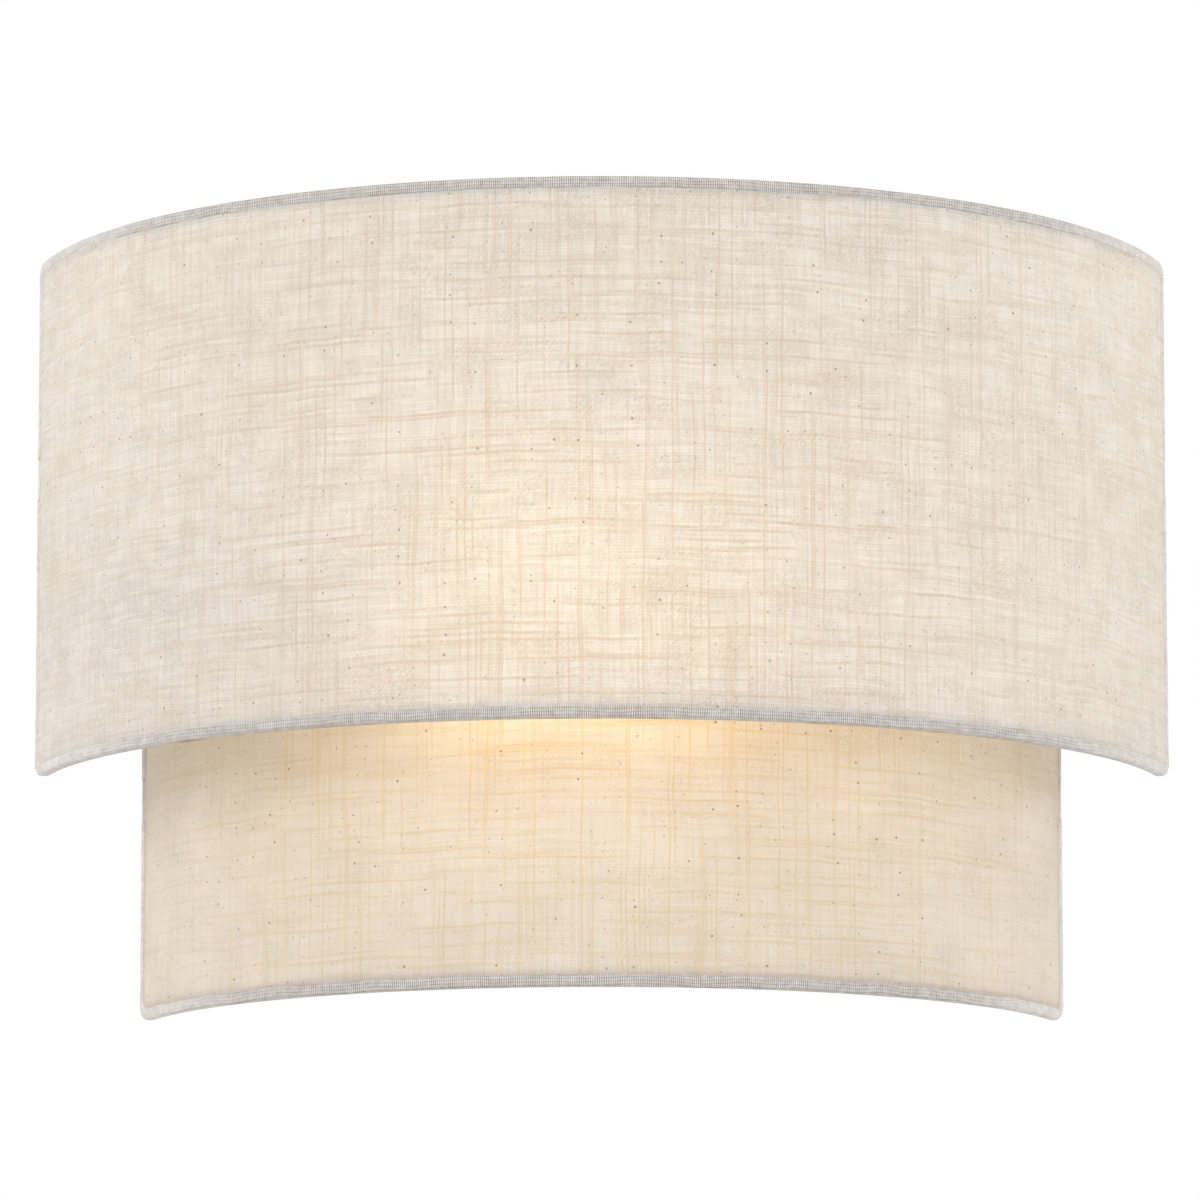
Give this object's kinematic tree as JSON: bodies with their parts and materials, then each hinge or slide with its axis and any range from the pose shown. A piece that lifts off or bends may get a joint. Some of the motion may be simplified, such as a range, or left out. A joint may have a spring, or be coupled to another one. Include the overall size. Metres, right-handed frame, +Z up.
{
  "type": "wall light",
  "caption": "Wall light with a two-tier half-round fabric shade on a wire frame, over a steel wall plate, a screw lampholder and a round lamp.",
  "frame": {"origin": "middle of the mounting bar's back face on the wall, at the centre of the junction box's two screws", "axes": "+X to the right seen from the room, +Y into the wall, +Z up"},
  "size_m": [0.33, 0.13, 0.223],
  "materials": {
    "fabric": "natural linen and cotton weave, slubbed",
    "liner": "translucent white sheet",
    "frame_wire": "white powder coat",
    "strap_steel": "white powder coat",
    "thumbscrew_brass": "brushed nickel plate",
    "zinc_steel": "bright zinc plate",
    "plate_paint": "white powder coat",
    "nut_plating": "brushed nickel plate",
    "ground_green": "green passivated steel",
    "tinned_copper": "tinned copper",
    "lead_green": "insulated lead",
    "lead_black": "insulated lead",
    "lead_white": "insulated lead",
    "connector": "moulded nylon",
    "bushing": "moulded nylon",
    "lampholder": "moulded phenolic",
    "holder_brass": "plain brass",
    "bulb_glass": "frosted inside",
    "cap_metal": "rolled thread",
    "cap_insulator": "black vitreous glass",
    "solder": "solder",
    "filament": "tungsten"
  },
  "bodies": {
    "base": {"mounting_bar": "zinc_steel", "mounting_studs": "zinc_steel", "stud_lock_nuts": "zinc_steel", "wall_plate": "plate_paint", "plate_cap_nuts": "nut_plating", "shade_nuts": "zinc_steel", "ground_screw": "ground_green", "ground_terminal": "tinned_copper", "ground_lead": "lead_green", "line_lead": "lead_black", "neutral_lead": "lead_white", "wire_connectors": "connector", "wire_bushing": "bushing", "lamp_bracket": "plate_paint", "bracket_screws": "zinc_steel", "bracket_nuts": "zinc_steel", "lampholder_body": "lampholder", "screw_shell": "holder_brass", "centre_contact": "holder_brass", "lampholder_nipple": "zinc_steel", "lampholder_nut": "zinc_steel"},
    "bulb": {"bulb_glass": "bulb_glass", "bulb_cap": "cap_metal", "bulb_insulator": "cap_insulator", "bulb_contact": "solder", "bulb_stem": "bulb_glass", "bulb_filament": "filament"},
    "shade": {"upper_fabric": "fabric", "upper_liner": "liner", "upper_top_hoop": "frame_wire", "upper_bottom_hoop": "frame_wire", "upper_posts": "frame_wire", "upper_strap": "strap_steel", "lower_fabric": "fabric", "lower_liner": "liner", "lower_top_hoop": "frame_wire", "lower_bottom_hoop": "frame_wire", "lower_posts": "frame_wire", "lower_strap": "strap_steel", "tier_links": "frame_wire"},
    "upper_screw": {"upper_thumbscrew": "thumbscrew_brass"},
    "lower_screw": {"lower_thumbscrew": "thumbscrew_brass"}
  },
  "joints": [
    {"name": "shade_off", "type": "slide", "parent": "base", "child": "shade", "axis": [0, -1, 0], "range_m": [0, 0.12]},
    {"name": "bulb_out", "type": "slide", "parent": "base", "child": "bulb", "axis": [1, 0, 0], "range_m": [0, 0.055]},
    {"name": "upper_thumbscrew_turn", "type": "hinge", "parent": "shade", "child": "upper_screw", "pos_m": [0, 0, 0.047], "axis": [0, -1, 0], "continuous": true},
    {"name": "lower_thumbscrew_turn", "type": "hinge", "parent": "shade", "child": "lower_screw", "pos_m": [0, 0, -0.047], "axis": [0, -1, 0], "continuous": true}
  ]
}
